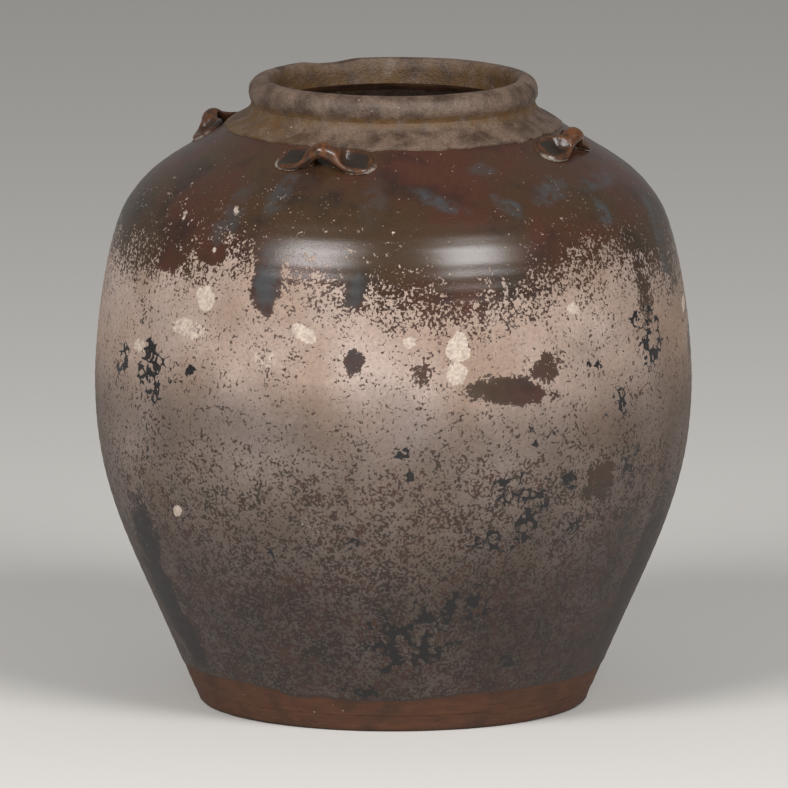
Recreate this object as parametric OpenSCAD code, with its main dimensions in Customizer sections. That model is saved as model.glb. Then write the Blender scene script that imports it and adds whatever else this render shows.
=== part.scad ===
// Martaban storage jar, high-fired stoneware, built in sections and luted together.
// Millimetres, +Z up, origin on the floor at the middle of the foot. The four lugs lie on -Y, +X, +Y and -X.

/* [Body] */
// Height of the jar from the floor to the top of the rim
jar_h = 632; // [610:1:650]
// Radius of the belly at its widest
belly_r = 300; // [290:1:306]
// Radius of the flat that the jar stands on
foot_r = 190; // [184:1:196]
// Lean of the wall where it leaves the foot, away from upright, in degrees
foot_lean = 21.9; // [19:0.1:24]
// Radius at the knee, where the belly turns over into the shoulder
knee_r = 267.4; // [262:0.1:272]
// Lean of the wall at the knee, in degrees
knee_lean = 32.9; // [29:0.1:36]
// Slope of the shoulder under the neck, below level, in degrees
shoulder_slope = 33.5; // [30:0.1:36]

/* [Walls] */
// Thickness of the slab that closes the foot
base_t = 18; // [14:0.5:24]
// Wall thickness just above the base slab
foot_wall = 16; // [13:0.5:18]
// Wall thickness on the shoulder
shoulder_wall = 12; // [10:0.5:14]
// Height of the seam between the lower and the upper section, on the outside
seam_z = 316; // [300:1:320]
// Height that the bevelled seam climbs on its way through the wall
seam_bevel = 7; // [3:0.5:9]
// Thickness of the clay strap that backs the belly seam inside
seam_coil_t = 5; // [3:0.5:7]
// Leg of the clay fillet inside the foot
foot_coil_leg = 26; // [18:1:32]

/* [Neck and rim] */
// Radius of the mouth, a true cylinder inside the rolled rim
mouth_r = 122; // [118:0.5:124]
// Radius of the rolled rim at its fullest
roll_r = 145.7; // [144:0.1:148]
// Height of the rolled rim above the groove under it
roll_h = 26.3; // [24:0.1:29]
// Radius at the bottom of the groove between neck and rim
groove_r = 142.8; // [141:0.1:143.5]
// Radius where the neck's collar seats on the shoulder wall
seat_r = 156; // [154:0.5:158]
// Height of the neck from its seat to the groove
neck_h = 15; // [13:0.5:17]
// Radius of the collar's lower edge, smoothed down over the shoulder
collar_r = 168.8; // [166:0.1:171]
// Thickness of the collar's lower edge
collar_lip = 2.4; // [1.5:0.1:3]

/* [Lugs] */
// Half length of a lug along the shoulder
lug_half = 51; // [47:0.5:54]
// Radius of the shoulder under the middle of a lug
lug_r = 187; // [184:0.5:190]
// Height of each arch above the shoulder: front, right, back, left
lug_rise = [24, 22.5, 23.5, 21]; // [20:0.5:26]
// How far down the slope each lug was pressed on: front, right, back, left
lug_slip = [0, 0.5, 0.5, 4]; // [-2:0.5:5]
// Height of the cord hole under an arch
eye_h = 9.5; // [8.5:0.1:11]
// Half width of the cord hole where it meets the shoulder
eye_half = 10.5; // [9:0.5:12]
// Half width of the coil at the crown of the arch
strap_half = 9.2; // [8:0.1:10.5]
// Half width of a thumb-pressed pad, up and down the slope
pad_half = 17.5; // [15:0.5:19]
// Distance from the arch's crown to the middle of a pad
pad_reach = 33; // [31:0.5:35]
// Height of a pad's pressed-up edge
pad_rim = 6.5; // [5:0.1:8]
// Clay left under the thumb dish of a pad
dish_floor = 2.6; // [2:0.1:3.5]

/* [Hidden] */
$fn = 160;

// Fired clay and glaze colours
biscuit = [0.46, 0.22, 0.12];
worn = [0.36, 0.29, 0.24];
dark_glaze = [0.22, 0.13, 0.09];
ash = [0.32, 0.25, 0.20];
amber = [0.33, 0.17, 0.08];

// Heights that follow the jar's height
belly_z = 0.514 * jar_h;
knee_z = 0.799 * jar_h;
groove_z = jar_h - roll_h;
seat_z = groove_z - neck_h;

// Each profile curve is four points [radius, height]: start, two handles, end
function lean_step(deg, len) = len * [sin(deg), cos(deg)];
edge_r = foot_r + 7.7;
edge_z = 4.6;
heel_curve = [[foot_r, 0], [foot_r + 4.5, 0], [edge_r, edge_z] - lean_step(foot_lean, 3.2), [edge_r, edge_z]];
lower_curve = [[edge_r, edge_z], [edge_r, edge_z] + lean_step(foot_lean, 0.25 * jar_h),
               [belly_r, belly_z - 0.19 * jar_h], [belly_r, belly_z]];
belly_curve = [[belly_r, belly_z], [belly_r, belly_z + 0.068 * jar_h],
               [knee_r, knee_z] - lean_step(-knee_lean, 40), [knee_r, knee_z]];
shoulder_curve = [[knee_r, knee_z], [knee_r, knee_z] + lean_step(-knee_lean, 46),
                  [seat_r, seat_z] + 80 * [cos(shoulder_slope), -sin(shoulder_slope)], [seat_r, seat_z]];

// Stations along each curve, close enough that the flats between them can't be seen
lower_steps = 28;
belly_steps = 16;
shoulder_steps = 16;
round_steps = 7;

function at(c, t) = pow(1 - t, 3) * c[0] + 3 * t * pow(1 - t, 2) * c[1] + 3 * t * t * (1 - t) * c[2]
    + pow(t, 3) * c[3];
function along(c, t) = 3 * pow(1 - t, 2) * (c[1] - c[0]) + 6 * t * (1 - t) * (c[2] - c[1])
    + 3 * t * t * (c[3] - c[2]);
function unit(v) = v / norm(v);
function outward(c, t) = let (d = unit(along(c, t))) [d.y, -d.x];

// Wall thickness thins steadily from the foot to the knee
function wall_at(z) = foot_wall + (shoulder_wall - foot_wall) * min(1, z / knee_z);
function inside(c, t, extra = 0) = let (p = at(c, t)) p - (wall_at(p.y) + extra) * outward(c, t);

// Points along a curve from share a to share b, on the outside or on the inside of the wall
function outer_run(c, a, b, steps) = [for (i = [0:steps]) at(c, a + (b - a) * i / steps)];
function inner_run(c, a, b, steps) = [for (i = [0:steps]) inside(c, a + (b - a) * i / steps)];
function backwards(list) = [for (i = [len(list) - 1:-1:0]) list[i]];

// Share of a rising curve at which it reaches height z or comes in to radius r, by halving
function share_at_z(c, z, lo = 0, hi = 1, n = 24) = let (mid = (lo + hi) / 2)
    n == 0 ? mid : at(c, mid).y < z ? share_at_z(c, z, mid, hi, n - 1) : share_at_z(c, z, lo, mid, n - 1);
function share_at_r(c, r, lo = 0, hi = 1, n = 24) = let (mid = (lo + hi) / 2)
    n == 0 ? mid : at(c, mid).x > r ? share_at_r(c, r, mid, hi, n - 1) : share_at_r(c, r, lo, mid, n - 1);

slab_share = share_at_z(lower_curve, base_t);
seam_share = share_at_z(lower_curve, seam_z);
bevel_share = share_at_z(lower_curve, min(belly_z, seam_z + seam_bevel));
collar_share = share_at_r(shoulder_curve, collar_r);
lug_share = share_at_r(shoulder_curve, lug_r);
shoulder_len = norm(along(shoulder_curve, lug_share));

// The lower wall's inner face, carried straight on down to the top of the base slab
lower_inside = inner_run(lower_curve, slab_share, bevel_share, lower_steps);
slab_corner = lower_inside[0] - (lower_inside[0].y - base_t) * [tan(foot_lean), 1];
// The upper wall's inner face, from the bevelled seam up to the neck
upper_inside = concat(inner_run(lower_curve, bevel_share, 1, 2), inner_run(belly_curve, 0, 1, belly_steps),
                      inner_run(shoulder_curve, 0, 1, shoulder_steps));

module lathe(profile) rotate_extrude() polygon(profile);

// Slab of clay that closes the foot, bare of glaze
module base_disc() {
    heel = outer_run(heel_curve, 0, 1, round_steps);
    side = outer_run(lower_curve, 0, slab_share, 2);
    color(biscuit) lathe(concat([[0, 0]], heel, side, [[0, base_t]]));
}

// Fillet of clay pressed into the corner inside the foot
module foot_coil() {
    up = 4;
    top = lower_inside[up];
    toe = slab_corner - [foot_coil_leg, 0];
    hollow = [toe, toe + [0.7 * foot_coil_leg, 0], top - lean_step(foot_lean, 0.7 * foot_coil_leg), top];
    wall_side = [for (i = [up - 1:-1:0]) lower_inside[i]];
    color(biscuit) lathe(concat(outer_run(hollow, 0, 1, round_steps), wall_side, [slab_corner]));
}

// Lower section of the body, standing on the slab
module lower_wall() {
    skin = outer_run(lower_curve, slab_share, seam_share, lower_steps);
    color(worn) lathe(concat([slab_corner], skin, backwards(lower_inside)));
}

// Strap of clay smoothed over the belly seam inside
module belly_coil() {
    low = lower_steps - 2;
    high = 6;
    wall_side = concat([for (i = [low:lower_steps]) lower_inside[i]], [for (i = [1:high]) upper_inside[i]]);
    last = len(wall_side) - 1;
    face = [for (i = [last - 1:-1:1]) wall_side[i] - [seam_coil_t * sin(180 * i / last), 0]];
    color(biscuit) lathe(concat(wall_side, face));
}

// Upper section of the body with the shoulder, luted to the lower one at a bevelled seam
module upper_wall() {
    skin = concat(outer_run(lower_curve, seam_share, 1, 2), outer_run(belly_curve, 0, 1, belly_steps),
                  outer_run(shoulder_curve, 0, collar_share, shoulder_steps),
                  outer_run(shoulder_curve, collar_share, 1, 2));
    color(dark_glaze) lathe(concat(skin, backwards(upper_inside)));
}

// Neck thrown as a ring, with its collar smoothed down over the shoulder
module neck_ring() {
    apron = outer_run(shoulder_curve, 1, collar_share, 2);
    lip = at(shoulder_curve, collar_share) + collar_lip * (0.9 * outward(shoulder_curve, collar_share) - [0.4, 0]);
    flare_curve = [lip, [seat_r + 2, seat_z + 2.2], [groove_r + 0.7, groove_z - 10], [groove_r, groove_z]];
    heel = inside(shoulder_curve, 1);
    throat_curve = [[mouth_r, groove_z], [mouth_r + 3.5, groove_z - 9],
                    heel + [-9, 7], heel];
    color(ash) lathe(concat(apron, outer_run(flare_curve, 0, 1, 2 * round_steps),
                            outer_run(throat_curve, 0, 1, round_steps)));
}

// Rolled rim, with the cylindrical mouth that a stopper seats in
module rim_roll() {
    full_z = groove_z + 0.46 * roll_h;
    crown_r = mouth_r + 0.4 * (roll_r - mouth_r);
    under_curve = [[groove_r, groove_z], [groove_r + 0.6, groove_z + 3.5], [roll_r, full_z - 6], [roll_r, full_z]];
    outer_curve = [[roll_r, full_z], [roll_r, full_z + 8.5], [crown_r + 8, jar_h], [crown_r, jar_h]];
    inner_curve = [[crown_r, jar_h], [crown_r - 6, jar_h], [mouth_r, jar_h - 5], [mouth_r, groove_z + 0.5 * roll_h]];
    color(ash) lathe(concat([[mouth_r, groove_z]], outer_run(under_curve, 0, 1, round_steps),
                            outer_run(outer_curve, 0, 1, round_steps),
                            outer_run(inner_curve, 0, 1, round_steps)));
}

// One lug: a coil of clay bent into an arch, its ends pressed flat with the thumb.
// u runs along the shoulder from the crown, s across the coil from -1, uphill, to 1, downhill.
stations = 44;
across = 9;
function ease(x) = let (v = max(0, min(1, x))) v * v * (3 - 2 * v);
// Long side of a lug, rounded off at its end
function end_round(u) = sqrt(max(0.02, 1 - pow(max(0, abs(u) - pad_reach) / (lug_half + 0.4 - pad_reach), 2)));
function half_width(u) = end_round(u) * (strap_half + (pad_half - strap_half)
    * ease((abs(u) - eye_half + 1) / (pad_reach - eye_half - 3)));
// Ridge line of the arch, falling to the pads, and the underside of the arch
function ridge(u, rise) = end_round(u) * (pad_rim + (rise - pad_rim) * exp(-pow(u / 19.5, 2)));
function belly_line(u) = max(-1.5, eye_h * (1 - pow(u / eye_half, 2)));
// Thumb dish, steep against the arch and open towards the end
function dish(u, rise) = max(0, ridge(u, rise) - dish_floor) * ease((abs(u) - 16.5) / 6.5)
    * ease((lug_half - 1 - abs(u)) / 7);
function hollow(s) = pow(max(0, 1 - pow(s / 0.8, 2)), 1.5);
function top_at(u, s, rise) = let (mid = (ridge(u, rise) + belly_line(u)) / 2)
    mid + (ridge(u, rise) - mid) * sqrt(max(0, 1 - s * s)) - dish(u, rise) * hollow(s);
function bottom_at(u, s, rise) = let (mid = (ridge(u, rise) + belly_line(u)) / 2)
    max(0, mid - (mid - belly_line(u)) * sqrt(max(0, 1 - s * s)));
// Point at u along, m down the slope and n off the shoulder's surface
function on_shoulder(u, m, n) = let (share = lug_share - m / shoulder_len,
    p = at(shoulder_curve, share) + n * outward(shoulder_curve, share), turn = u / lug_r * 180 / PI)
    [p.x * sin(turn), -p.x * cos(turn), p.y];
function station_u(i) = let (x = 2 * i / stations - 1) lug_half * (0.5 * x + 0.5 * sin(90 * x));
function lug_ring(u, rise, slip) = concat(
    [for (j = [0:across]) let (s = -cos(180 * j / across))
        on_shoulder(u, slip + s * half_width(u), top_at(u, s, rise))],
    [for (j = [1:across - 1]) let (s = cos(180 * j / across))
        on_shoulder(u, slip + s * half_width(u), bottom_at(u, s, rise))]);

module lug(which) {
    per = 2 * across;
    points = [for (i = [0:stations]) each lug_ring(station_u(i), lug_rise[which], lug_slip[which])];
    sides = [for (i = [0:stations - 1], j = [0:per - 1]) let (a = i * per + j, b = i * per + (j + 1) % per)
        each [[a, b + per, b], [a, a + per, b + per]]];
    near_cap = [for (j = [1:per - 2]) [0, j, j + 1]];
    far = stations * per;
    far_cap = [for (j = [1:per - 2]) [far, far + j + 1, far + j]];
    color(amber) rotate([0, 0, 90 * which]) polyhedron(points, concat(sides, near_cap, far_cap));
}
module lug_front() lug(0);
module lug_right() lug(1);
module lug_back() lug(2);
module lug_left() lug(3);

base_disc();
foot_coil();
lower_wall();
belly_coil();
upper_wall();
neck_ring();
rim_roll();
lug_front();
lug_right();
lug_back();
lug_left();
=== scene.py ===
"""A martaban storage jar of high-fired stoneware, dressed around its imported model.

The jar was thrown in sections and luted together: a base slab, a lower and an upper body section with a
strap of clay over their seam, a neck ring, a rolled rim and four thumb-pressed lugs. Its brown glaze is
glossy on the shoulder and weathered to a pale, flaking bloom below, and stops short of the bare foot.

Sizes are in millimetres. A mesh becomes metres when it is finished. A turn is an angle about the jar's
axis in degrees, from -Y towards +X, and the front of the photograph lies at turn 21.6.
"""

from __future__ import annotations

import logging
import math
from dataclasses import dataclass, field
from enum import Enum
from functools import cache, cached_property

import bmesh
import bpy
import numpy as np
from mathutils import Matrix, Vector

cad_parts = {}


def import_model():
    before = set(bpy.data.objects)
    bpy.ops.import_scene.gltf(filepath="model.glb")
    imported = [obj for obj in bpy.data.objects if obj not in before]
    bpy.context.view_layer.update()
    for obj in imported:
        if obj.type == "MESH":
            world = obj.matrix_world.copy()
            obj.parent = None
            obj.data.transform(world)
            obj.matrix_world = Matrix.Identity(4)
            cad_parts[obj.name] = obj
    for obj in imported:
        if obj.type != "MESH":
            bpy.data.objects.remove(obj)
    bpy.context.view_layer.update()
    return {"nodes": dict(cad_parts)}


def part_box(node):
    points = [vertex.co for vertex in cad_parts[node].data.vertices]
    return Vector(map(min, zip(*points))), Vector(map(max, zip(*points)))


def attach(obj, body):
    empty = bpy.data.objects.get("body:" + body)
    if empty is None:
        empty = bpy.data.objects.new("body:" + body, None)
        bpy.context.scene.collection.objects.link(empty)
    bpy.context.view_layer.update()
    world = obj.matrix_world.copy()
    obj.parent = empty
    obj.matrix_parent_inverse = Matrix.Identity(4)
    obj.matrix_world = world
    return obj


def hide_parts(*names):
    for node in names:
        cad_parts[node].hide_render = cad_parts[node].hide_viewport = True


LOG = logging.getLogger("jar")
MM = 0.001
SAME_POINT = 1e-4
CREASE_ANGLE = 48.0
BARE_ROUGHNESS = 0.78

Array = np.ndarray
Colour = tuple[float, float, float]
Socket = bpy.types.NodeSocket
Value = bpy.types.NodeSocket | float
Drawn = tuple[Socket, Value, Socket]
Tree = bpy.types.ShaderNodeTree
ShaderNode = bpy.types.ShaderNode
Piece = bpy.types.Object
Mesh = bpy.types.Mesh
WHITE: Colour = (1.0, 1.0, 1.0)


class Slot(Enum):
    """The record's material slots."""

    BISCUIT = "biscuit_clay"
    WORN = "worn_glaze"
    DARK = "dark_glaze"
    ASH = "ash_glaze"
    AMBER = "amber_glaze"


class Layer(Enum):
    """Soft masks that a mesh carries to its material, one value at each point."""

    GRAINS = "grains"
    # How pale the crust is: real weathering, with painted shade where it falls towards the bottom.
    PALE_AND_SHADE = "pale"
    MATTE = "matte"
    FLAKE = "flake"
    CREAM = "cream"
    BLUE = "blue"
    WARM = "warm"
    DARK = "dark"
    BARE = "bare"
    CONVEX = "convex"
    DISH = "dish"
    # Pale line along the lugs' lower edges: partly pale glaze, partly a painted highlight on the luting
    # fillet.
    HEM_AND_HIGHLIGHT = "hem"


class Mark(Enum):
    """Kinds of patch on the glaze."""

    FLAKE = "flake"
    CLEAR = "clear"
    DARK = "dark"
    CREAM = "cream"
    BLUE = "blue"
    SCAR = "scar"


def turn_from(turn: Array, start: float) -> Array:
    """Turns measured from a start, from -180 to 180 degrees."""
    return (turn - start + 180.0) % 360.0 - 180.0


def smooth(value: Array, low: float, high: float) -> Array:
    """Rises smoothly from 0 at low to 1 at high.

    Args:
        value: The values to weigh.
        low: Where the rise starts. It may lie above high, and then the result falls.
        high: Where it ends.

    Returns:
        The weights, from 0 to 1.
    """
    share = np.clip((value - low) / (high - low), 0.0, 1.0)
    return share * share * (3.0 - 2.0 * share)


def grounded(points: Array) -> Array:
    """The points set down to height 0."""
    return points * [1.0, 1.0, 0.0]


class Noise:
    """Seeded gradient noise in three dimensions, for whole arrays of points."""

    TABLE = 256
    GAIN = 1.6

    def __init__(self, seed: int) -> None:
        """Fills the tables from a seed."""
        rng = np.random.default_rng(seed)
        order = rng.permutation(self.TABLE)
        self.order = np.concatenate([order, order])
        slopes = rng.normal(size=(self.TABLE, 3))
        self.slopes = slopes / np.linalg.norm(slopes, axis=1)[:, None]

    def at(self, points: Array, size: float) -> Array:
        """Noise from about -1 to 1.

        Args:
            points: Rows of x, y and z, in millimetres.
            size: Size of one bump, in millimetres.

        Returns:
            One value for each row.
        """
        place = points / size
        cell = np.floor(place).astype(int)
        part = place - cell
        fade = part**3 * (part * (part * 6.0 - 15.0) + 10.0)
        total = np.zeros(len(points))
        for corner in np.ndindex(2, 2, 2):
            index = (cell + corner) % self.TABLE
            key = self.order[self.order[self.order[index[:, 0]] + index[:, 1]] + index[:, 2]]
            lean = np.einsum("ij,ij->i", self.slopes[key], part - corner)
            weight = np.prod(np.where(np.array(corner) == 1, fade, 1.0 - fade), axis=1)
            total += weight * lean
        return self.GAIN * total

    def rough(self, points: Array, size: float, octaves: int = 3) -> Array:
        """Noise summed over octaves, each half the size and half the height of the last."""
        total = np.zeros(len(points))
        for octave in range(octaves):
            total += self.at(points, size / 2**octave) / 2**octave
        return total


@dataclass(frozen=True)
class Curve:
    """A cubic curve of the jar's section: start, two handles and end, each a radius and a height."""

    points: tuple[tuple[float, float], ...]

    def at(self, share: Array) -> Array:
        """Points at shares from 0 to 1 along the curve."""
        t = np.asarray(share, float)[:, None]
        a, b, c, d = (np.array(p) for p in self.points)
        return (1 - t) ** 3 * a + 3 * t * (1 - t) ** 2 * b + 3 * t * t * (1 - t) * c + t**3 * d

    def outward(self, share: Array) -> Array:
        """Unit vectors that point out of the clay at those shares."""
        t = np.asarray(share, float)[:, None]
        a, b, c, d = (np.array(p) for p in self.points)
        along = (1 - t) ** 2 * (b - a) + 2 * t * (1 - t) * (c - b) + t * t * (d - c)
        along /= np.linalg.norm(along, axis=1)[:, None]
        return np.column_stack([along[:, 1], -along[:, 0]])

    def share_at(self, axis: int, value: float) -> float:
        """Share at which the radius, axis 0, or the height, axis 1, reaches a value."""
        shares = np.linspace(0.0, 1.0, 2001)
        reached = self.at(shares)[:, axis]
        order = np.argsort(reached)
        return float(np.interp(value, reached[order], shares[order]))

    def spaced(self, spacing: float, low: float = 0.0, high: float = 1.0) -> Array:
        """Shares from low to high that lie about evenly along the curve's length.

        Args:
            spacing: Largest distance between two neighbours.
            low: First share.
            high: Last share.

        Returns:
            The shares, both ends included.
        """
        dense = np.linspace(low, high, 1001)
        steps = np.linalg.norm(np.diff(self.at(dense), axis=0), axis=1)
        length = np.concatenate([[0.0], np.cumsum(steps)])
        count = max(1, math.ceil(length[-1] / spacing))
        return np.interp(np.linspace(0.0, length[-1], count + 1), length, dense)

    def run(self, spacing: float, low: float = 0.0, high: float = 1.0) -> Array:
        """Points that lie about evenly along the curve's length, from one share to another."""
        return self.at(self.spaced(spacing, low, high))


def lean_step(degrees: float, length: float) -> Array:
    """Step of a length that leans outwards from upright."""
    angle = math.radians(degrees)
    return length * np.array([math.sin(angle), math.cos(angle)])


def as_curve(*points: Array | tuple[float, float]) -> Curve:
    """A curve from four points."""
    return Curve(tuple((float(p[0]), float(p[1])) for p in points))


@dataclass(frozen=True)
class JarForm:
    """The jar's driving sizes and the curves of its section, as its maker would draw them."""

    height: float
    belly_r: float
    foot_r: float = 190.0
    foot_lean: float = 21.9
    knee_r: float = 267.4
    knee_lean: float = 32.9
    shoulder_slope: float = 33.5
    base_t: float = 18.0
    foot_wall: float = 16.0
    shoulder_wall: float = 12.0
    seam_z: float = 316.0
    seam_bevel: float = 7.0
    mouth_r: float = 122.0
    roll_r: float = 145.7
    roll_h: float = 26.3
    groove_r: float = 142.8
    seat_r: float = 156.0
    neck_h: float = 15.0
    collar_r: float = 168.8
    lug_r: float = 187.0

    @classmethod
    def from_frame(cls) -> JarForm:
        """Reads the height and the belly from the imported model."""
        rim_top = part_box("rim_roll")[1].z / MM
        belly = (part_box("upper_wall")[1].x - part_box("upper_wall")[0].x) / 2 / MM
        return cls(height=round(rim_top, 1), belly_r=round(belly, 0))

    @property
    def belly_z(self) -> float:
        """Height of the belly."""
        return 0.514 * self.height

    @property
    def knee(self) -> Array:
        """Where the belly turns over into the shoulder."""
        return np.array([self.knee_r, 0.799 * self.height])

    @property
    def groove(self) -> Array:
        """Bottom of the groove under the rim."""
        return np.array([self.groove_r, self.height - self.roll_h])

    @property
    def seat(self) -> Array:
        """Where the neck's collar seats on the shoulder wall."""
        return np.array([self.seat_r, self.height - self.roll_h - self.neck_h])

    @property
    def edge(self) -> Array:
        """Rounded edge of the foot."""
        return np.array([self.foot_r + 7.7, 4.6])

    @cached_property
    def heel(self) -> Curve:
        """Curve of the foot's edge."""
        before_edge = self.edge - lean_step(self.foot_lean, 3.2)
        return as_curve((self.foot_r, 0.0), (self.foot_r + 4.5, 0.0), before_edge, self.edge)

    @cached_property
    def lower(self) -> Curve:
        """Curve from the foot to the belly."""
        rise = self.edge + lean_step(self.foot_lean, 0.25 * self.height)
        under_belly = (self.belly_r, self.belly_z - 0.19 * self.height)
        return as_curve(self.edge, rise, under_belly, (self.belly_r, self.belly_z))

    @cached_property
    def belly(self) -> Curve:
        """Curve from the belly to the knee."""
        above = (self.belly_r, self.belly_z + 0.068 * self.height)
        before_knee = self.knee - lean_step(-self.knee_lean, 40.0)
        return as_curve((self.belly_r, self.belly_z), above, before_knee, self.knee)

    @cached_property
    def shoulder(self) -> Curve:
        """Curve from the knee to the neck's seat."""
        slope = math.radians(self.shoulder_slope)
        before_seat = self.seat + 80.0 * np.array([math.cos(slope), -math.sin(slope)])
        return as_curve(self.knee, self.knee + lean_step(-self.knee_lean, 46.0), before_seat, self.seat)

    @cached_property
    def outline(self) -> Array:
        """The body's outside, as closely spaced points that rise from the foot."""
        shares = np.linspace(0.0, 1.0, 160)
        return np.vstack([c.at(shares) for c in (self.heel, self.lower, self.belly, self.shoulder)])

    def radius_at(self, height: Array) -> Array:
        """Radius of the body's outside at each height."""
        return np.interp(height, self.outline[:, 1], self.outline[:, 0])

    def inside(self, curve: Curve, share: Array) -> Array:
        """Points on the inside of the wall, under those of a curve."""
        skin = curve.at(share)
        part = np.minimum(1.0, skin[:, 1] / self.knee[1])
        wall = self.foot_wall + (self.shoulder_wall - self.foot_wall) * part
        return skin - wall[:, None] * curve.outward(share)

    @cached_property
    def slab_share(self) -> float:
        """Share of the lower curve at the top of the base slab."""
        return self.lower.share_at(1, self.base_t)

    @cached_property
    def seam_share(self) -> float:
        """Share of the lower curve at the belly seam, outside."""
        return self.lower.share_at(1, self.seam_z)

    @cached_property
    def bevel_share(self) -> float:
        """Share of the lower curve at the belly seam, inside."""
        return self.lower.share_at(1, min(self.belly_z, self.seam_z + self.seam_bevel))

    @cached_property
    def collar_share(self) -> float:
        """Share of the shoulder at the collar's lower edge."""
        return self.shoulder.share_at(0, self.collar_r)

    @cached_property
    def shoulder_track(self) -> tuple[Array, Array, Array, float]:
        """Points up the shoulder, outward vectors, lengths, and the length to the lugs' middle."""
        shares = np.linspace(0.0, 1.0, 1200)
        track = self.shoulder.at(shares)
        steps = np.linalg.norm(np.diff(track, axis=0), axis=1)
        lengths = np.concatenate([[0.0], np.cumsum(steps)])
        middle = float(np.interp(self.shoulder.share_at(0, self.lug_r), shares, lengths))
        return track, self.shoulder.outward(shares), lengths, middle

    @cached_property
    def slab_corner(self) -> Array:
        """Corner between the base slab and the wall, inside."""
        first = self.inside(self.lower, np.array([self.slab_share]))[0]
        drop = first[1] - self.base_t
        return first - drop * np.array([math.tan(math.radians(self.foot_lean)), 1.0])


@dataclass(frozen=True)
class Patch:
    """A patch on the glaze: where it lies, its half sizes, its strength and its tilt."""

    kind: Mark
    turn: float
    height: float
    half_width: float
    half_height: float
    strength: float = 1.0
    tilt: float = 0.0


FRONT_MARKS: dict[Mark, tuple[tuple[float, ...], ...]] = {
    Mark.FLAKE: (
        (-33, 360, 24, 32, 0.95), (-25, 366, 34, 11, 0.6), (-44, 362, 20, 28, 0.55),
        (82, 390, 24, 28, 1.0), (79, 414, 20, 14, 0.6), (64, 375, 22, 8, 0.65, 15),
        (47, 258, 31, 19, 0.7), (44, 205, 36, 11, 0.75), (51, 228, 30, 16, 0.85), (58, 262, 10, 9, 1.2),
        (74, 268, 20, 28, 0.55), (61, 209, 24, 12, 0.6, 35), (77, 198, 8, 18, 0.7),
        (39, 140, 27, 24, 0.95), (30, 118, 34, 26, 0.75), (19, 100, 20, 30, 1.0), (23, 85, 38, 13, 1.05),
        (33, 88, 30, 12, 0.95), (52, 73, 14, 7, 0.9), (13, 44, 22, 7, 0.9), (-5, 189, 13, 7, 0.55),
        (14, 204, 13, 7, 0.6), (-35, 301, 10, 26, 0.65), (24, 299, 9, 6, 0.95), (25, 275, 7, 6, 0.7),
        (52, 314, 26, 14, 0.5), (70, 330, 24, 20, 0.45),
    ),
    Mark.CLEAR: (
        (45, 358, 42, 13, 0.95, -6), (52, 377, 17, 15, 0.75), (66, 260, 20, 20, 0.55),
        (14, 391, 10, 10, 1.2), (-5, 464, 13, 32, 1.1), (14, 462, 9, 20, 1.0), (-31, 472, 20, 9, 0.8),
        (-19, 486, 16, 9, 0.8), (82, 432, 14, 30, 0.5), (27, 379, 11, 13, 0.45),
    ),
    Mark.DARK: (
        (-43, 182, 26, 46, 1.0, -20), (-45, 126, 30, 44, 1.0, -10), (-41, 84, 24, 28, 0.9),
        (92, 150, 26, 80, 0.6),
    ),
    Mark.CREAM: (
        (-19, 441, 12, 13, 0.9), (-23, 411, 32, 13, 0.6), (4, 416, 15, 8, 1.1, -25),
        (34, 402, 13, 17, 1.1), (34, 380, 11, 16, 0.75), (25, 411, 9, 7, 0.6), (60, 433, 9, 8, 0.7),
        (-4, 389, 24, 13, 0.45), (5, 224, 22, 16, 0.35), (-27, 223, 9, 6, 0.8, 30),
        (-37, 384, 14, 9, 0.6),
    ),
    Mark.SCAR: (
        (-31.6, 514, 3.6, 9, 1.0, 25), (-17, 526, 5, 8, 1.0, 35), (-38, 541, 5, 4, 0.8),
        (-19, 489, 4.5, 4, 1.0), (21.6, 514, 3.2, 3.4, 1.0),
    ),
    Mark.BLUE: (
        (33, 540, 26, 6, 0.9, -20), (50, 533, 15, 7, 1.0, -25), (64, 542, 28, 8, 0.9, 15),
        (76, 517, 10, 14, 1.0, -20), (85, 543, 44, 7, 0.7), (98, 501, 14, 26, 1.0, -15),
        (94, 460, 9, 34, 1.0), (92, 415, 8, 34, 0.9), (49, 565, 16, 5, 0.6), (-5, 464, 13, 32, 1.0),
        (14, 462, 9, 20, 0.8), (-18, 522, 15, 26, 0.6), (-8, 543, 12, 18, 0.7), (17, 539, 14, 20, 0.4),
        (2, 145, 8, 5, 1.0), (14, 391, 12, 12, 0.7),
    ),
}
"""For each kind: turn, height, half width, half height, strength and, if it leans, tilt."""

TIDE_POINTS: tuple[tuple[float, float], ...] = (
    (-54, 462), (-37, 463), (-24, 470), (-13, 488), (-5, 470), (3, 470), (11, 464), (20, 450), (27, 446),
    (37, 434), (48, 448), (57, 463), (69, 476), (79, 475), (88, 452), (96, 440), (120, 462), (150, 448),
    (175, 470), (205, 455), (235, 474), (262, 450), (285, 466),
)
GLAZE_LINE_POINTS: tuple[tuple[float, float], ...] = (
    (-44, 42), (-24, 43), (-11, 38), (-6, 32), (0, 36), (14, 33), (26, 34), (40, 38), (65, 40),
    (84, 38.5), (95, 41), (130, 36), (165, 42), (200, 38), (235, 43), (262, 37), (290, 41),
)
FRONT_TURN = 21.6
PHOTO_SIDE = (-62.0, 100.0)
LUG_SLIPS = {"lug_front": 0.0, "lug_right": 0.5, "lug_back": 0.5, "lug_left": 4.0}


def around(turn: Array, points: tuple[tuple[float, float], ...]) -> Array:
    """Value of a line that runs round the jar, drawn through points of turn and value."""
    table = np.array(sorted((p[0] % 360.0, p[1]) for p in points))
    return np.interp(np.asarray(turn) % 360.0, table[:, 0], table[:, 1], period=360.0)


def front_patches() -> list[Patch]:
    """Patches where the photograph has them."""
    return [Patch(kind, *row) for kind, rows in FRONT_MARKS.items() for row in rows]


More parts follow.
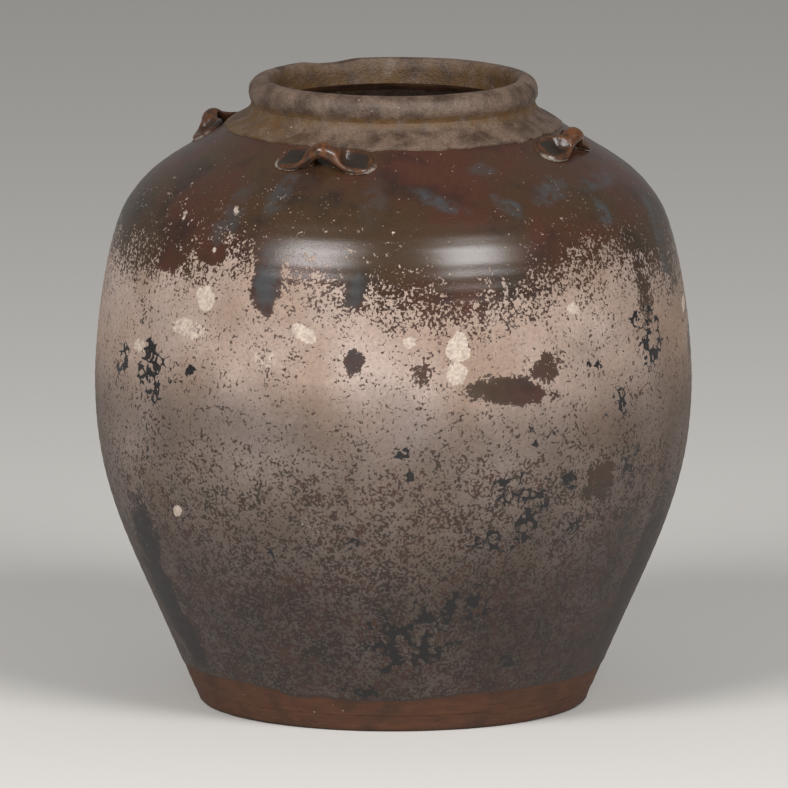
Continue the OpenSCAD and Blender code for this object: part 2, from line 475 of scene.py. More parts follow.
def hidden_side_patches(seed: int = 71) -> list[Patch]:
    """Patches for the part of the jar that the photograph doesn't show, of the same kinds and sizes."""
    rng = np.random.default_rng(seed)
    plan = (
        (Mark.FLAKE, 34, (60.0, 400.0), (8.0, 34.0), (7.0, 26.0)),
        (Mark.CLEAR, 12, (330.0, 480.0), (9.0, 36.0), (9.0, 24.0)),
        (Mark.DARK, 6, (70.0, 260.0), (20.0, 40.0), (24.0, 60.0)),
        (Mark.CREAM, 14, (330.0, 450.0), (7.0, 26.0), (6.0, 15.0)),
        (Mark.SCAR, 6, (480.0, 560.0), (3.0, 5.0), (3.5, 9.0)),
        (Mark.BLUE, 16, (420.0, 570.0), (8.0, 30.0), (6.0, 32.0)),
    )
    made = []
    start, end = PHOTO_SIDE[1], PHOTO_SIDE[0] + 360.0
    for kind, count, heights, widths, halves in plan:
        for _ in range(count):
            turn = rng.uniform(start + 4.0, end - 4.0)
            sizes = [rng.uniform(*span) for span in (heights, widths, halves)]
            made.append(Patch(kind, turn, *sizes, rng.uniform(0.5, 1.05), rng.uniform(-30.0, 30.0)))
    return made


@dataclass
class Surface:
    """How the thrown and glazed surface strays from the true outline, and where its marks lie."""

    form: JarForm
    out_of_round: float = 1.6
    lumps: float = 0.9
    ring_depth: float = 0.22
    ring_pitch: float = 13.0
    inner_ring_depth: float = 1.0
    inner_ring_pitch: float = 17.0
    glaze_step: float = 0.9
    noise: Noise = field(default_factory=lambda: Noise(5))
    patches: list[Patch] = field(default_factory=lambda: [*front_patches(), *hidden_side_patches()])

    def turn_and_radius(self, points: Array) -> tuple[Array, Array]:
        """Turn in degrees and radius of each point."""
        return np.degrees(np.arctan2(points[:, 0], -points[:, 1])), np.hypot(points[:, 0], points[:, 1])

    def glaze_line(self, points: Array, turn: Array) -> Array:
        """Height of the glaze's lower edge round the foot."""
        return around(turn, GLAZE_LINE_POINTS) + 1.4 * self.noise.rough(grounded(points), 16.0)

    def stray(self, points: Array) -> Array:
        """Radial step from the true outline at each point of the outside, nearly always inwards.

        Args:
            points: Rows of x, y and z, in millimetres.

        Returns:
            The step at each point, in millimetres.
        """
        turn, _ = self.turn_and_radius(points)
        height = points[:, 2]
        side = np.radians(turn - FRONT_TURN - 90.0)
        oval = -self.out_of_round * 0.5 * (1.0 - np.cos(2.0 * side))
        lump = self.lumps * 0.5 * (self.noise.rough(points, 150.0) - 1.0)
        wander = 2.2 * self.noise.at(points, 190.0)
        rings = self.ring_depth * 0.5 * (np.sin(2.0 * np.pi * height / self.ring_pitch + wander) - 1.0)
        bare = smooth(self.glaze_line(points, turn) - height, -1.2, 1.6)
        return oval + lump + rings - self.glaze_step * bare

    def inner_stray(self, points: Array) -> Array:
        """Radial step of the inside, ridged by the thrower's fingers."""
        wander = 2.6 * self.noise.at(points, 230.0)
        rings = np.sin(2.0 * np.pi * points[:, 2] / self.inner_ring_pitch + wander)
        return self.inner_ring_depth * rings + 0.8 * self.noise.at(points, 90.0)

    def cover(self, kind: Mark, points: Array, turn: Array) -> Array:
        """How strongly the patches of one kind cover each point.

        Args:
            kind: The kind of patch.
            points: Rows of x, y and z, in millimetres.
            turn: The turn of each point.

        Returns:
            The cover, from 0 to about 1.2.
        """
        ragged = 0.34 * self.noise.rough(points, 16.0)
        total = np.zeros(len(points))
        for patch in (p for p in self.patches if p.kind is kind):
            radius = float(self.form.radius_at(np.array([patch.height]))[0])
            across = turn_from(turn, patch.turn) * math.pi / 180.0 * radius
            up = points[:, 2] - patch.height
            tilt = math.radians(patch.tilt)
            along = (across * math.cos(tilt) + up * math.sin(tilt)) / patch.half_width
            over = (up * math.cos(tilt) - across * math.sin(tilt)) / patch.half_height
            away = np.hypot(along, over) + ragged
            total = np.maximum(total, patch.strength * smooth(away, 1.35, 0.55))
        return total

    def layers(self, points: Array) -> dict[Layer, Array]:
        """Every mask of the body's glaze at each point of the outside.

        Args:
            points: Rows of x, y and z, in millimetres.

        Returns:
            One array for each layer.
        """
        turn, _ = self.turn_and_radius(points)
        height = points[:, 2]
        tide = around(turn, TIDE_POINTS) + 9.0 * self.noise.rough(points, 42.0)
        below = tide - height
        clear = self.cover(Mark.CLEAR, points, turn)
        dark = self.cover(Mark.DARK, points, turn)
        scar = self.cover(Mark.SCAR, points, turn)
        drift = self.noise.rough(points, 34.0)
        dense = 0.62 * smooth(below, -48.0, 46.0) + 0.16 * smooth(below, -105.0, -25.0)
        thinner = 0.20 * smooth(height, 350.0, 230.0) + 0.10 * smooth(height, 220.0, 120.0)
        grains = dense - thinner + 0.10 * drift - 0.85 * clear - 0.42 * dark
        # pale: how pale the crust is. It falls towards the bottom, partly real weathering and partly
        # painted shade of the lower wall, which faces down; it also falls on the right side.
        pale = 0.16 + 0.26 * smooth(height, 120.0, 300.0) + 0.58 * smooth(height, 305.0, 390.0)
        right_side = smooth(turn_from(turn, FRONT_TURN), 15.0, 60.0)
        pale = pale * (1.0 + 0.22 * self.noise.rough(points, 75.0)) * (1.0 - 0.22 * right_side)
        warm = 0.5 + 0.7 * self.noise.rough(points, 110.0) + 0.25 * right_side
        matte = smooth(below, -15.0, 60.0) * (1.0 - 0.8 * np.clip(clear, 0.0, 1.0))
        return {
            Layer.GRAINS: grains,
            Layer.PALE_AND_SHADE: pale,
            Layer.MATTE: matte,
            Layer.FLAKE: self.cover(Mark.FLAKE, points, turn),
            Layer.CREAM: np.maximum(self.cover(Mark.CREAM, points, turn), 0.55 * scar),
            Layer.BLUE: self.cover(Mark.BLUE, points, turn),
            Layer.WARM: np.clip(warm, 0.0, 1.0),
            Layer.DARK: dark,
            Layer.BARE: smooth(self.glaze_line(points, turn) - height, -1.6, 1.6),
        }


class Sheet:
    """Lays shader nodes out in one tree and joins them."""

    def __init__(self, tree: Tree) -> None:
        """Takes the tree to work in."""
        self.tree = tree

    def node(self, kind: str, **settings: object) -> ShaderNode:
        """Adds a node with settings."""
        made = self.tree.nodes.new(kind)
        for name, value in settings.items():
            setattr(made, name, value)
        return made

    def feed(self, socket: Socket, value: Value | Colour) -> None:
        """Joins a socket to another one, or sets its value."""
        if isinstance(value, bpy.types.NodeSocket):
            self.tree.links.new(value, socket)
        elif isinstance(value, tuple) and socket.type == "RGBA":
            socket.default_value = (*value, 1.0)
        else:
            socket.default_value = value

    def fill(self, node: ShaderNode, feeds: dict[str | int, Value | Colour]) -> None:
        """Feeds inputs of a node, by name or number."""
        for key, value in feeds.items():
            self.feed(node.inputs[key], value)

    def placed(self, kind: str, feeds: dict[str | int, Value | Colour], **settings: object) -> ShaderNode:
        """Adds a node with settings and feeds its inputs."""
        made = self.node(kind, **settings)
        self.fill(made, feeds)
        return made

    def math(self, operation: str, a: Value, b: Value = 0.0, clamp: bool = False) -> Socket:
        """One sum of two values."""
        made = self.placed("ShaderNodeMath", {0: a, 1: b}, operation=operation, use_clamp=clamp)
        return made.outputs[0]

    def times(self, a: Value, b: Value) -> Socket:
        """The product of two values."""
        return self.math("MULTIPLY", a, b)

    def plus(self, a: Value, b: Value) -> Socket:
        """The sum of two values."""
        return self.math("ADD", a, b)

    def minus(self, a: Value, b: Value, clamp: bool = False) -> Socket:
        """The difference of two values, kept from 0 to 1 if clamped."""
        return self.math("SUBTRACT", a, b, clamp)

    def blend(self, share: Value, a: Socket | Colour, b: Socket | Colour, kind: str = "MIX") -> Socket:
        """Colour a turned into colour b by a share."""
        settings = {"data_type": "RGBA", "blend_type": kind, "clamp_factor": True}
        return self.placed("ShaderNodeMix", {0: share, 6: a, 7: b}, **settings).outputs[2]

    def tinted(self, a: Socket | Colour, b: Socket | Colour) -> Socket:
        """Colour a multiplied by colour b."""
        return self.blend(1.0, a, b, "MULTIPLY")

    def between(self, share: Value, a: Value, b: Value) -> Socket:
        """Value a turned into value b by a share."""
        feeds = {0: share, 2: a, 3: b}
        return self.placed("ShaderNodeMix", feeds, data_type="FLOAT", clamp_factor=True).outputs[0]

    def step(self, value: Socket, low: Value, high: Value, kind: str = "SMOOTHSTEP") -> Socket:
        """Rises from 0 at low to 1 at high, and falls where low lies above high."""
        feeds = {"Value": value, "From Min": low, "From Max": high}
        return self.placed("ShaderNodeMapRange", feeds, interpolation_type=kind, clamp=True).outputs[0]

    def noise(self, vector: Socket, size: float, detail: float = 2.0, rough: float = 0.5) -> Socket:
        """Noise from 0 to 1 with bumps of a size in millimetres."""
        feeds = {"Vector": vector, "Scale": 1.0 / (size * MM), "Detail": detail, "Roughness": rough}
        return self.placed("ShaderNodeTexNoise", feeds).outputs[0]

    def cells(self, vector: Socket, size: float, feature: str = "F1") -> ShaderNode:
        """Voronoi cells of a size in millimetres."""
        feeds = {"Vector": vector, "Scale": 1.0 / (size * MM)}
        return self.placed("ShaderNodeTexVoronoi", feeds, feature=feature)

    def stretched(self, vector: Socket, scale: tuple[float, float, float]) -> Socket:
        """The vector with each axis scaled."""
        return self.placed("ShaderNodeMapping", {"Vector": vector, "Scale": scale}).outputs[0]

    def jostled(self, vector: Socket, size: float, reach: float) -> Socket:
        """The vector moved about by noise, by up to a reach in millimetres."""
        feeds = {"Vector": vector, "Scale": 1.0 / (size * MM), "Detail": 2.0}
        cloud = self.placed("ShaderNodeTexNoise", feeds).outputs[1]
        kind = "ShaderNodeVectorMath"
        centred = self.placed(kind, {0: cloud, 1: (0.5, 0.5, 0.5)}, operation="SUBTRACT").outputs[0]
        scaled = self.placed(kind, {0: centred, "Scale": 2.0 * reach * MM}, operation="SCALE").outputs[0]
        return self.placed(kind, {0: vector, 1: scaled}, operation="ADD").outputs[0]

    def layer(self, layer: Layer) -> Socket:
        """Value of a mask that the mesh carries."""
        return self.node("ShaderNodeAttribute", attribute_name=layer.value).outputs["Fac"]

    def place(self) -> Socket:
        """Object coordinates, in metres."""
        return self.node("ShaderNodeTexCoord").outputs["Object"]

    def use(self, group: Tree, **inputs: Value | Colour) -> ShaderNode:
        """Places a node group and feeds its inputs."""
        return self.placed("ShaderNodeGroup", inputs, node_tree=group)


def open_group(
    name: str, inputs: dict[str, str], outputs: dict[str, str]
) -> tuple[Tree, Sheet, ShaderNode, ShaderNode]:
    """Starts a shader node group.

    Args:
        name: The group's name.
        inputs: Socket kind of each input, by name.
        outputs: Socket kind of each output, by name.

    Returns:
        The tree, a sheet to work on it, its input node and its output node.
    """
    tree = bpy.data.node_groups.new(name, "ShaderNodeTree")
    for label, kind in inputs.items():
        tree.interface.new_socket(label, in_out="INPUT", socket_type=f"NodeSocket{kind}")
    for label, kind in outputs.items():
        tree.interface.new_socket(label, in_out="OUTPUT", socket_type=f"NodeSocket{kind}")
    sheet = Sheet(tree)
    return tree, sheet, sheet.node("NodeGroupInput"), sheet.node("NodeGroupOutput")


@cache
def grain_group() -> Tree:
    """Pale grains of weathered glaze, scattered at a given density."""
    tree, sheet, given, result = open_group(
        "pale_grains", {"Vector": "Vector", "Density": "Float"},
        {"Mask": "Float", "Tone": "Float", "Height": "Float"})
    vector = sheet.jostled(given.outputs["Vector"], 5.0, 1.0)
    fine = sheet.noise(vector, 3.0, 2.5, 0.62)
    coarse = sheet.noise(vector, 9.0, 1.0)
    heap = sheet.plus(sheet.times(fine, 0.74), sheet.times(coarse, 0.26))
    middle = sheet.math("MULTIPLY_ADD", given.outputs["Density"], -0.36)
    middle.node.inputs[2].default_value = 0.685
    mask = sheet.step(heap, sheet.minus(middle, 0.016), sheet.plus(middle, 0.022))
    tone = sheet.noise(given.outputs["Vector"], 4.0, 3.0, 0.7)
    height = sheet.times(mask, sheet.step(heap, 0.3, 0.8, "LINEAR"))
    sheet.fill(result, {"Mask": mask, "Tone": tone, "Height": height})
    return tree


@cache
def flake_group() -> Tree:
    """Places where the weathered skin has flaked off along a net of cracks, with a painted highlight
    round each flake's rim.
    """
    tree, sheet, given, result = open_group(
        "flaked_net", {"Vector": "Vector", "Amount": "Float"}, {"Mask": "Float", "Lip": "Float"})
    vector = sheet.jostled(given.outputs["Vector"], 7.0, 1.9)
    border = sheet.cells(vector, 9.5, "DISTANCE_TO_EDGE").outputs["Distance"]
    patchy = sheet.step(sheet.noise(given.outputs["Vector"], 15.0, 2.5, 0.6), 0.34, 0.68, "LINEAR")
    width = sheet.times(sheet.math("POWER", patchy, 1.6), given.outputs["Amount"])
    width = sheet.minus(sheet.times(width, 0.62), 0.045)
    mask = sheet.step(border, width, sheet.minus(width, 0.03))
    # The lip is a painted highlight: a band just outside each flake.
    near = sheet.step(border, sheet.plus(width, 0.09), width)
    some = sheet.step(given.outputs["Amount"], 0.1, 0.35)
    lip = sheet.minus(near, mask, True)
    sheet.fill(result, {"Mask": sheet.times(mask, some), "Lip": sheet.times(lip, some)})
    return tree


@cache
def speck_group() -> Tree:
    """Sparse single specks."""
    tree, sheet, given, result = open_group(
        "sparse_specks", {"Vector": "Vector", "Share": "Float"}, {"Mask": "Float"})
    cells = sheet.cells(sheet.jostled(given.outputs["Vector"], 3.0, 0.5), 8.0)
    split = sheet.placed("ShaderNodeSeparateColor", {0: cells.outputs["Color"]})
    reach = sheet.times(split.outputs[1], 0.16)
    dot = sheet.step(cells.outputs["Distance"], reach, sheet.times(reach, 0.6))
    chosen = sheet.math("LESS_THAN", split.outputs[0], given.outputs["Share"])
    sheet.fill(result, {"Mask": sheet.times(dot, chosen)})
    return tree


@cache
def biscuit_group() -> Tree:
    """Bare fired clay with pale and dark grit and faint turning lines."""
    tree, sheet, given, result = open_group(
        "bare_clay", {"Vector": "Vector", "Clay": "Color", "Scorched": "Color"},
        {"Color": "Color", "Height": "Float"})
    vector = given.outputs["Vector"]
    lines = sheet.noise(sheet.stretched(vector, (0.12, 0.12, 1.0)), 2.6, 3.0, 0.6)
    clouds = sheet.noise(vector, 38.0, 3.0, 0.6)
    shade = sheet.blend(sheet.step(clouds, 0.42, 0.72), given.outputs["Clay"], given.outputs["Scorched"])
    darker = sheet.tinted(shade, (0.62, 0.6, 0.58))
    shade = sheet.blend(sheet.step(lines, 0.3, 0.75, "LINEAR"), shade, darker)
    grit = sheet.use(speck_group(), Vector=vector, Share=0.4).outputs["Mask"]
    shade = sheet.blend(sheet.times(grit, 0.75), shade, (0.36, 0.26, 0.19))
    pits = sheet.step(sheet.noise(vector, 2.2, 2.0, 0.7), 0.36, 0.3)
    shade = sheet.blend(sheet.times(pits, 0.7), shade, (0.03, 0.014, 0.008))
    height = sheet.plus(sheet.times(lines, 0.6), sheet.times(grit, 0.5))
    sheet.fill(result, {"Color": shade, "Height": sheet.minus(height, sheet.times(pits, 0.5))})
    return tree


@dataclass(frozen=True)
class Finish:
    """What every finish has: a name, and the depth of its relief in millimetres."""

    name: str
    relief: float = 0.5

    def material(self) -> bpy.types.Material:
        """The finish as a material, built once."""
        if self.name in bpy.data.materials:
            return bpy.data.materials[self.name]
        made = bpy.data.materials.new(self.name)
        made.use_nodes = True
        made.node_tree.nodes.clear()
        sheet = Sheet(made.node_tree)
        colour, rough, height = self.draw(sheet)
        bump = sheet.placed("ShaderNodeBump", {"Distance": self.relief * MM, "Height": height})
        feeds = {"Base Color": colour, "Roughness": rough, "Normal": bump.outputs[0]}
        shader = sheet.placed("ShaderNodeBsdfPrincipled", feeds)
        sheet.placed("ShaderNodeOutputMaterial", {"Surface": shader.outputs[0]})
        return made

    def draw(self, sheet: Sheet) -> Drawn:
        """Lays out the pattern and returns its colour, roughness and height."""
        raise NotImplementedError


@dataclass(frozen=True)
class Biscuit(Finish):
    """Bare clay of the foot."""

    name: str = "bare_biscuit"
    clay: Colour = (0.105, 0.039, 0.016)
    scorched: Colour = (0.062, 0.025, 0.012)

    def draw(self, sheet: Sheet) -> Drawn:
        """Lays out the bare clay."""
        bare = sheet.use(biscuit_group(), Vector=sheet.place(), Clay=self.clay, Scorched=self.scorched)
        return bare.outputs["Color"], BARE_ROUGHNESS, bare.outputs["Height"]


@dataclass(frozen=True)
class BodyGlaze(Finish):
    """The body's glaze, glossy on the shoulder and weathered below, down to the bare foot."""

    name: str = "body_glaze"
    relief: float = 0.55
    olive: Colour = (0.048, 0.026, 0.012)
    red: Colour = (0.060, 0.021, 0.012)
    black: Colour = (0.009, 0.007, 0.008)
    blue: Colour = (0.055, 0.062, 0.066)
    umber: Colour = (0.066, 0.044, 0.033)
    bloom: Colour = (0.390, 0.300, 0.255)
    tan: Colour = (0.270, 0.185, 0.135)
    cream: Colour = (0.640, 0.545, 0.440)
    hem: Colour = (0.035, 0.018, 0.012)
    foot: Biscuit = Biscuit()

    def draw(self, sheet: Sheet) -> Drawn:
        """Lays the glaze's layers over each other, from the dark glass up."""
        vector = sheet.place()
        matte = sheet.layer(Layer.MATTE)
        # pale darkens the under layer, the crust and the specks lower down: partly real weathering,
        # partly painted shade.
        pale = sheet.layer(Layer.PALE_AND_SHADE)
        glass = self.glass(sheet, vector)
        grey = sheet.tinted(self.umber, sheet.blend(pale, (0.16, 0.15, 0.14), WHITE))
        stain = sheet.step(sheet.noise(vector, 22.0, 3.0, 0.65), 0.4, 0.66)
        grey = sheet.blend(sheet.times(stain, 0.65), grey, self.red)
        under = sheet.blend(sheet.times(matte, 0.86), glass, grey)
        under = sheet.blend(sheet.times(sheet.layer(Layer.DARK), 0.9), under, self.black)

        grains = sheet.use(grain_group(), Vector=vector, Density=sheet.layer(Layer.GRAINS))
        crust = sheet.blend(sheet.layer(Layer.WARM), self.bloom, self.tan)
        crust = sheet.blend(sheet.step(grains.outputs["Tone"], 0.35, 0.75, "LINEAR"), crust,
                            sheet.tinted(crust, (1.35, 1.36, 1.4)))
        crust = sheet.tinted(crust, sheet.blend(pale, (0.04, 0.04, 0.04), WHITE))
        colour = sheet.blend(grains.outputs["Mask"], under, crust)

        blotch = sheet.noise(vector, 6.0, 3.0, 0.65)
        smears = sheet.plus(sheet.layer(Layer.CREAM), sheet.times(blotch, 0.8))
        cream = sheet.step(smears, 0.82, 1.0)
        worn = sheet.blend(sheet.step(grains.outputs["Tone"], 0.3, 0.7), self.bloom, self.cream)
        colour = sheet.blend(sheet.times(cream, 0.92), colour, worn)

        flakes = sheet.use(flake_group(), Vector=vector, Amount=sheet.layer(Layer.FLAKE))
        # Painted highlight round each flake's rim, in the crust's colour.
        colour = sheet.blend(sheet.times(flakes.outputs["Lip"], 0.35), colour, crust)
        colour = sheet.blend(flakes.outputs["Mask"], colour, self.black)
        specks = sheet.use(speck_group(), Vector=vector, Share=0.22).outputs["Mask"]
        speck_tone = sheet.blend(pale, self.umber, self.bloom)
        colour = sheet.blend(sheet.times(specks, 0.8), colour, speck_tone)

        bare_edge = sheet.plus(sheet.layer(Layer.BARE), sheet.times(blotch, 0.3))
        bare = sheet.step(bare_edge, 0.62, 0.7)
        hem = sheet.minus(sheet.step(bare_edge, 0.18, 0.4), bare, True)
        clay = sheet.use(biscuit_group(), Vector=vector, Clay=self.foot.clay, Scorched=self.foot.scorched)
        colour = sheet.blend(hem, colour, self.hem)
        colour = sheet.blend(bare, colour, clay.outputs["Color"])

        crusted = sheet.math("MAXIMUM", grains.outputs["Mask"], cream)
        rough = sheet.between(matte, 0.24, 0.55)
        rough = sheet.between(sheet.times(crusted, 0.8), rough, 0.62)
        rough = sheet.between(flakes.outputs["Mask"], rough, 0.3)
        rough = sheet.between(bare, rough, BARE_ROUGHNESS)

        fine = sheet.noise(vector, 1.3, 2.0, 0.6)
        height = sheet.plus(sheet.times(grains.outputs["Height"], 0.5), sheet.times(fine, 0.16))
        height = sheet.minus(height, sheet.times(flakes.outputs["Mask"], 0.7))
        height = sheet.between(bare, height, sheet.times(clay.outputs["Height"], 0.6))
        return colour, rough, height

    def glass(self, sheet: Sheet, vector: Socket) -> Socket:
        """The clean dark glass: olive and red brown, near black pools and bluish runs."""
        wide = sheet.noise(vector, 105.0, 3.0, 0.55)
        colour = sheet.blend(sheet.step(wide, 0.40, 0.62), self.olive, self.red)
        pools = sheet.step(sheet.noise(vector, 48.0, 3.0, 0.6), 0.45, 0.72)
        colour = sheet.blend(sheet.times(pools, 0.6), colour, self.black)
        wisps = sheet.step(sheet.noise(vector, 12.0, 3.0, 0.6), 0.3, 0.62)
        blue = sheet.times(sheet.layer(Layer.BLUE), wisps)
        colour = sheet.blend(sheet.times(blue, 0.75), colour, self.blue)
        fine = sheet.noise(vector, 2.0, 3.0, 0.7)
        return sheet.tinted(colour, sheet.blend(fine, (0.55, 0.55, 0.55), (1.45, 1.45, 1.45)))


@dataclass(frozen=True)
class AshGlaze(Finish):
    """Gritty ash glaze of the neck and rim."""

    name: str = "gritty_ash"
    relief: float = 0.8
    grey: Colour = (0.185, 0.124, 0.088)
    brown: Colour = (0.070, 0.040, 0.024)
    ochre: Colour = (0.105, 0.052, 0.014)

    def draw(self, sheet: Sheet) -> Drawn:
        """Lays out grey grit over brown, with ochre where the glaze pooled."""
        vector = sheet.place()
        grit = sheet.noise(vector, 2.4, 3.0, 0.7)
        clouds = sheet.noise(vector, 26.0, 3.0, 0.6)
        colour = sheet.blend(sheet.step(clouds, 0.35, 0.7), self.grey, self.brown)
        darker = sheet.tinted(colour, (0.6, 0.58, 0.56))
        colour = sheet.blend(sheet.step(grit, 0.35, 0.65, "LINEAR"), darker, colour)
        pools = sheet.step(sheet.noise(vector, 14.0, 3.0, 0.6), 0.3, 0.6)
        pooled = sheet.times(sheet.layer(Layer.WARM), pools)
        colour = sheet.blend(pooled, colour, self.ochre)
        specks = sheet.use(speck_group(), Vector=vector, Share=0.35).outputs["Mask"]
        colour = sheet.blend(sheet.times(specks, 0.8), colour, (0.42, 0.36, 0.30))
        rough = sheet.between(sheet.step(grit, 0.35, 0.65), 0.42, 0.62)
        height = sheet.plus(grit, sheet.times(sheet.noise(vector, 6.0, 2.0), 0.8))
        return colour, rough, sheet.plus(height, sheet.times(specks, 0.5))


@dataclass(frozen=True)
class AmberGlaze(Finish):
    """Glossy glaze of the lugs, amber where it is thin and dark in the thumb dishes."""

    name: str = "glossy_amber"
    relief: float = 0.25
    amber: Colour = (0.120, 0.042, 0.014)
    brown: Colour = (0.040, 0.019, 0.010)
    dark: Colour = (0.022, 0.015, 0.011)
    # rim is the colour of the pale hem along the pads' lower edges: partly pale glaze, partly a painted
    # highlight.
    rim: Colour = (0.300, 0.260, 0.220)

    def draw(self, sheet: Sheet) -> Drawn:
        """Lays out amber on the crests, dark glass in the dishes and a pale hem on the shoulder, partly
        pale glaze and partly a painted highlight.
        """
        vector = sheet.place()
        clouds = sheet.noise(vector, 8.0, 3.0, 0.6)
        thin = sheet.times(sheet.layer(Layer.CONVEX), sheet.step(clouds, 0.3, 0.62))
        colour = sheet.blend(thin, self.brown, self.amber)
        colour = sheet.blend(sheet.layer(Layer.DISH), colour, self.dark)
        # The pale hem along the pads' lower edges is partly pale glaze and partly a painted highlight.
        hem = sheet.times(sheet.layer(Layer.HEM_AND_HIGHLIGHT), sheet.step(sheet.noise(vector, 5.0, 2.0), 0.3, 0.6))
        colour = sheet.blend(sheet.times(hem, 0.7), colour, self.rim)
        fine = sheet.noise(vector, 2.0, 3.0, 0.7)
        return colour, sheet.between(clouds, 0.16, 0.34), fine


@dataclass(frozen=True)
class InnerGlaze(Finish):
    """Thin brown glaze inside, over throwing ridges."""

    name: str = "inner_glaze"
    relief: float = 0.5
    brown: Colour = (0.075, 0.036, 0.018)
    dark: Colour = (0.022, 0.014, 0.010)

    def draw(self, sheet: Sheet) -> Drawn:
        """Lays out brown glass with level streaks."""
        vector = sheet.place()
        streaks = sheet.noise(sheet.stretched(vector, (0.1, 0.1, 1.0)), 4.0, 3.0, 0.6)
        clouds = sheet.noise(vector, 30.0, 3.0, 0.6)
        colour = sheet.blend(sheet.step(clouds, 0.35, 0.65), self.brown, self.dark)
        colour = sheet.blend(sheet.step(streaks, 0.4, 0.7), colour, self.brown)
        return colour, sheet.between(streaks, 0.25, 0.5), streaks


def as_mesh(name: str, bm: bmesh.types.BMesh) -> Mesh:
    """A new mesh with a shape that isn't needed any more."""
    mesh = bpy.data.meshes.new(name)
    bm.to_mesh(mesh)
    bm.free()
    return mesh


def turned(name: str, profile: Array, steps: int, closed: bool = True) -> Mesh:
    """Spins a section about the jar's axis.

    Args:
        name: The mesh's name.
        profile: Rows of radius and height.
        steps: Steps in the full turn.
        closed: Whether the section's last point joins its first.

    Returns:
        The shell, with its doubles merged and its normals outward.
    """
    bm = bmesh.new()
    verts = [bm.verts.new((radius, 0.0, height)) for radius, height in profile]
    edges = [bm.edges.new(pair) for pair in zip(verts, verts[1:])]
    if closed:
        edges.append(bm.edges.new((verts[-1], verts[0])))
    bmesh.ops.spin(bm, geom=[*verts, *edges], cent=(0, 0, 0), axis=(0, 0, 1), dvec=(0, 0, 0),
                   angle=2.0 * math.pi, steps=steps, use_merge=True, use_duplicate=False)
    bmesh.ops.remove_doubles(bm, verts=bm.verts, dist=SAME_POINT)
    bmesh.ops.recalc_face_normals(bm, faces=bm.faces)
    return as_mesh(name, bm)


def read_points(mesh: Mesh) -> Array:
    """The mesh's points as rows."""
    flat = np.zeros(len(mesh.vertices) * 3)
    mesh.vertices.foreach_get("co", flat)
    return flat.reshape(-1, 3)


def write_points(mesh: Mesh, points: Array) -> None:
    """Moves the mesh's points."""
    mesh.vertices.foreach_set("co", points.astype(np.float32).ravel())
    mesh.update()


def paint(mesh: Mesh, layers: dict[Layer, Array]) -> None:
    """Stores masks on a mesh, one value at each point."""
    for layer, values in layers.items():
        stored = mesh.attributes.new(layer.value, "FLOAT", "POINT")
        stored.data.foreach_set("value", values.astype(np.float32))


def second_finish(mesh: Mesh, depths: Array, limit: float) -> None:
    """Gives the second finish to every face whose mean depth lies beyond a limit."""
    means = np.array([np.mean(depths[list(face.vertices)]) for face in mesh.polygons])
    mesh.polygons.foreach_set("material_index", (means > limit).astype(np.int32))


def push_out(points: Array, step: Array) -> Array:
    """Points moved away from the jar's axis by a step each."""
    radius = np.maximum(np.hypot(points[:, 0], points[:, 1]), 1e-6)
    moved = points.copy()
    moved[:, :2] *= ((radius + step) / radius)[:, None]
    return moved


def in_scene(name: str, data: bpy.types.ID) -> Piece:
    """A new object of the scene with its data."""
    made = bpy.data.objects.new(name, data)
    bpy.context.scene.collection.objects.link(made)
    return made


def stand_in(name: str, mesh: Mesh, finishes: list[Finish], node: str) -> Piece:
    """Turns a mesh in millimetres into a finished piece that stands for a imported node.

    Args:
        name: The piece's name.
        mesh: Its mesh, in millimetres.
        finishes: Its finishes, in the order of its faces' material numbers.
        node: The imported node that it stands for.

    Returns:
        The piece.
    """
    mesh.transform(Matrix.Scale(MM, 4))
    mesh.shade_smooth()
    mesh.set_sharp_from_angle(angle=math.radians(CREASE_ANGLE))
    for finish in finishes:
        mesh.materials.append(finish.material())
    piece = in_scene(name, mesh)
    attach(piece, "root")
    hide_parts(node)
    triangles = sum(len(p.vertices) - 2 for p in mesh.polygons)
    LOG.info("%s: %d triangles", name, triangles)
    return piece


@dataclass
class Foot:
    """Base slab and the fillet of clay inside it."""

    form: JarForm
    surface: Surface
    steps: int = 640
    fillet_leg: float = 26.0

    def build(self) -> list[Piece]:
        """Makes both pieces."""
        return [self.slab(), self.fillet()]

    def slab(self) -> Piece:
        """Slab that closes the foot, with its rounded edge."""
        form = self.form
        under = np.column_stack([np.linspace(0.0, form.foot_r, 12)[:-1], np.zeros(11)])
        heel = form.heel.run(1.6)
        side = form.lower.run(2.5, 0.0, form.slab_share)[1:]
        top = np.column_stack([np.linspace(side[-1, 0], 0.0, 12)[1:], np.full(11, form.base_t)])
        mesh = turned("foot_slab", np.vstack([under, heel, side, top]), self.steps, closed=False)
        points = read_points(mesh)
        share = smooth(np.hypot(points[:, 0], points[:, 1]), form.foot_r - 30.0, form.foot_r)
        worn = 0.5 * (self.surface.noise.rough(points, 22.0) - 1.0) * share
        write_points(mesh, push_out(points, share * self.surface.stray(points) + worn))
        return stand_in("foot_slab", mesh, [Biscuit()], "base_disc")

    def fillet(self) -> Piece:
        """Clay pressed into the corner inside the foot."""
        form = self.form
        shares = form.lower.spaced(6.0, form.slab_share, form.bevel_share)
        wall = form.inside(form.lower, shares)
        wall = wall[wall[:, 1] < form.base_t + 1.6 * self.fillet_leg]
        toe = form.slab_corner - np.array([self.fillet_leg, 0.0])
        step = lean_step(form.foot_lean, 0.7 * self.fillet_leg)
        face = as_curve(toe, toe + np.array([0.7 * self.fillet_leg, 0.0]), wall[-1] - step, wall[-1])
        loop = np.vstack([face.run(4.0), wall[-2::-1], form.slab_corner])
        mesh = turned("foot_fillet", loop, self.steps // 4)
        return stand_in("foot_fillet", mesh, [Biscuit()], "foot_coil")


